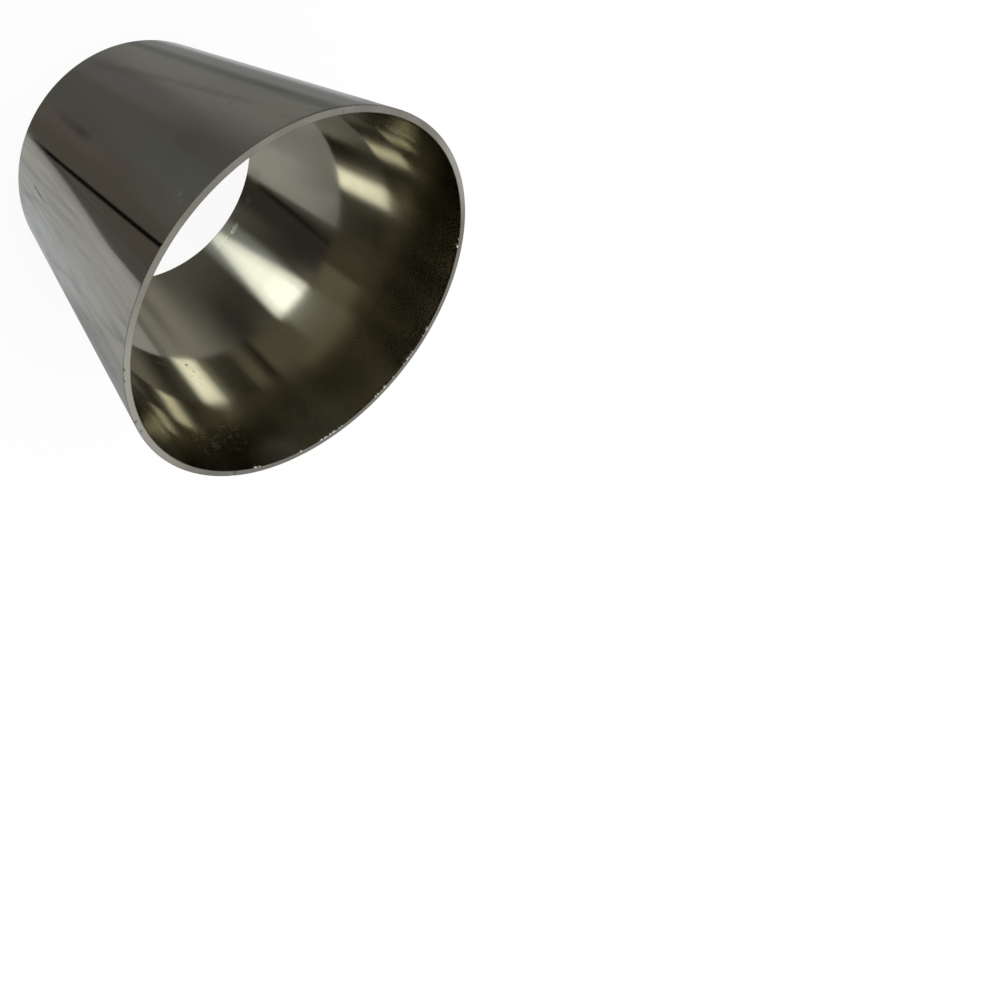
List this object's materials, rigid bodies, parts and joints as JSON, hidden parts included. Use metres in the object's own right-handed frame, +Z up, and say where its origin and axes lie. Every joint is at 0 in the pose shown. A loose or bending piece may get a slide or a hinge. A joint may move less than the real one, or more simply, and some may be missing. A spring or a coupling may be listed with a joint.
{
  "type": "exhaust pipe reducer",
  "caption": "Straight conical pipe reducer of polished stainless tube, open at both ends and cut square, for welding between a wide and a narrow exhaust pipe.",
  "frame": {"origin": "centre of the narrow end's cut face, on which the part stands", "axes": "+Z up the axis of the cone, from the narrow end towards the wide end"},
  "size_m": [0.0762, 0.0762, 0.07],
  "materials": {
    "polished_steel": "mirror polished inside and out with very fine polishing lines round the axis, cut end faces ground matt"
  },
  "bodies": {
    "root": {"reducer_cone": "polished_steel"}
  },
  "joints": []
}
